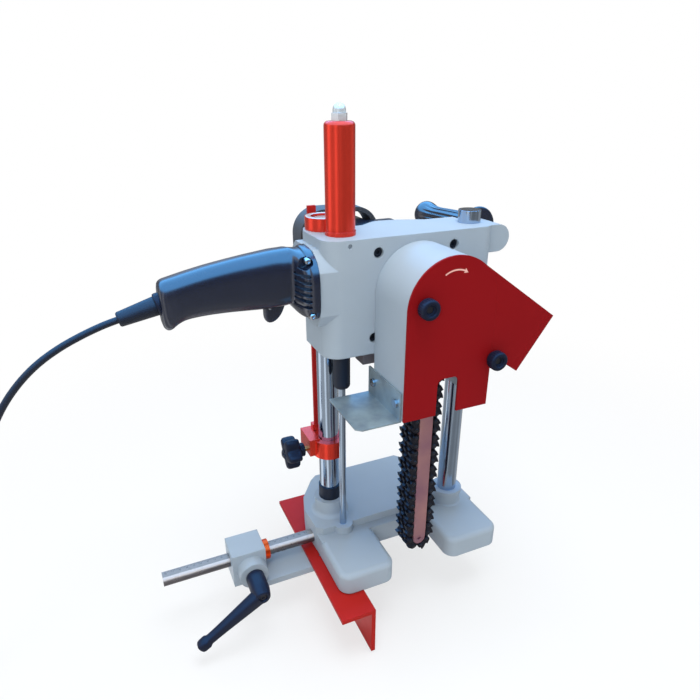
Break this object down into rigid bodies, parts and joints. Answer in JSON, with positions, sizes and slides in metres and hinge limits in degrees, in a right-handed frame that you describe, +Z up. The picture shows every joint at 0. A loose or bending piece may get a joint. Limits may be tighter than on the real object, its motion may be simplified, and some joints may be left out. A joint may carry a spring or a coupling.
{
  "type": "chain mortiser",
  "caption": "Portable chain mortiser: a motor head with a guided cutting chain slides on two columns over a U-shaped base with a side fence, depth stop and power cord.",
  "frame": {"origin": "on the sole of the base, midway between the two columns in X, on the left column's Y, under the raised plate", "axes": "+X to the right seen from the red cover, +Y away from the cover, +Z up along the columns"},
  "size_m": [0.978, 0.3143, 0.715],
  "materials": {
    "cast_grey": "blasted cast aluminium, matte",
    "red_anodised": "satin anodised red",
    "deep_red": "deep red paint, semi-gloss",
    "chromed": "polished",
    "bright_steel": "machined",
    "zinc_plate": "zinc plated, dull",
    "dark_chain": "oiled black oxide",
    "black_plastic": "fine-grained black, slight sheen",
    "black_rubber": "matte",
    "brass_screw": "turned",
    "copper_winding": "lacquered winding and laminations",
    "orange_ring": "satin orange",
    "brown_block": "dull brown-grey"
  },
  "bodies": {
    "base": {"base": "cast_grey", "column_left": "chromed", "column_right": "chromed", "column_sleeve": "black_rubber", "spring_rod": "chromed", "rod_cap": "bright_steel", "fence_bar": "bright_steel", "return_spring": "bright_steel", "power_cord": "black_rubber", "cord_coil": "black_rubber", "plug": "black_rubber"},
    "head": {"housing": "cast_grey", "column_ring": "red_anodised", "bar_guide": "cast_grey", "spring_tube": "red_anodised", "tube_nut": "chromed", "bumper": "black_rubber", "housing_screws": "bright_steel", "guard": "cast_grey", "cover": "deep_red", "cover_studs": "bright_steel", "shelf": "zinc_plate", "shelf_screws": "bright_steel", "guide_bar": "bright_steel", "bar_holder": "cast_grey", "bar_bolts": "bright_steel", "mortise_chain": "dark_chain", "tension_block": "brown_block", "rear_casing": "black_plastic", "rear_loop": "black_plastic", "trigger_handle": "black_plastic", "handle_screws": "bright_steel", "trigger_pin": "bright_steel", "side_grip": "black_plastic", "grip_core": "bright_steel", "cord_boot": "black_rubber"},
    "chain_drive": {"drive_shaft": "bright_steel", "sprocket": "bright_steel", "drive_gear": "bright_steel"},
    "motor": {"motor_shaft": "bright_steel", "armature": "copper_winding", "motor_fan": "black_plastic"},
    "trigger": {"trigger": "black_plastic"},
    "knob_upper": {"knob_upper": "black_plastic"},
    "knob_lower": {"knob_lower": "black_plastic"},
    "depth_stop": {"depth_stop": "red_anodised", "scale_bar": "red_anodised"},
    "stop_knob": {"stop_screw": "brass_screw", "star_knob": "black_plastic"},
    "fence": {"fence_clamp": "cast_grey", "fence_angle": "red_anodised", "fence_screws": "bright_steel", "clamp_stud": "bright_steel"},
    "clamp_lever": {"clamp_lever": "black_plastic"},
    "stop_ring": {"stop_ring": "orange_ring"}
  },
  "joints": [
    {"name": "head_slide", "type": "slide", "parent": "base", "child": "head", "axis": [0, 0, 1], "range_m": [-0.15, 0], "stiffness_N_per_m": 400, "springref_m": 0.55, "deforming": ["return_spring", "power_cord"]},
    {"name": "drive_spin", "type": "hinge", "parent": "head", "child": "chain_drive", "pos_m": [0, -0.06, 0.418], "axis": [0, 1, 0], "continuous": true},
    {"name": "motor_spin", "type": "hinge", "parent": "head", "child": "motor", "pos_m": [-0.028, 0, 0.4466], "axis": [0, 1, 0], "continuous": true},
    {"name": "trigger_pull", "type": "hinge", "parent": "head", "child": "trigger", "pos_m": [-0.181, -0.025, 0.406], "axis": [0, 1, 0], "range_deg": [0, 8], "stiffness_Nm_per_rad": 0.6, "springref_deg": -20.05},
    {"name": "upper_knob_turn", "type": "hinge", "parent": "head", "child": "knob_upper", "pos_m": [-0.039, -0.168, 0.424], "axis": [0, -1, 0], "range_deg": [0, 720]},
    {"name": "lower_knob_turn", "type": "hinge", "parent": "head", "child": "knob_lower", "pos_m": [0.063, -0.168, 0.343], "axis": [0, -1, 0], "range_deg": [0, 720]},
    {"name": "stop_slide", "type": "slide", "parent": "base", "child": "depth_stop", "axis": [0, 0, 1], "range_m": [-0.055, 0.15]},
    {"name": "star_knob_turn", "type": "hinge", "parent": "depth_stop", "child": "stop_knob", "pos_m": [-0.15, 0.006, 0.162], "axis": [1, 0, 0], "range_deg": [-360, 0]},
    {"name": "fence_slide", "type": "slide", "parent": "base", "child": "fence", "axis": [1, 0, 0], "range_m": [-0.08, 0]},
    {"name": "lever_turn", "type": "hinge", "parent": "fence", "child": "clamp_lever", "pos_m": [-0.237, -0.07, 0.01], "axis": [0, 1, 0], "range_deg": [-40, 90]},
    {"name": "ring_slide", "type": "slide", "parent": "base", "child": "stop_ring", "axis": [1, 0, 0], "range_m": [0, 0.05]}
  ],
  "couplings": [
    {"joint": "motor_spin", "follows": "drive_spin", "ratio": -5}
  ]
}
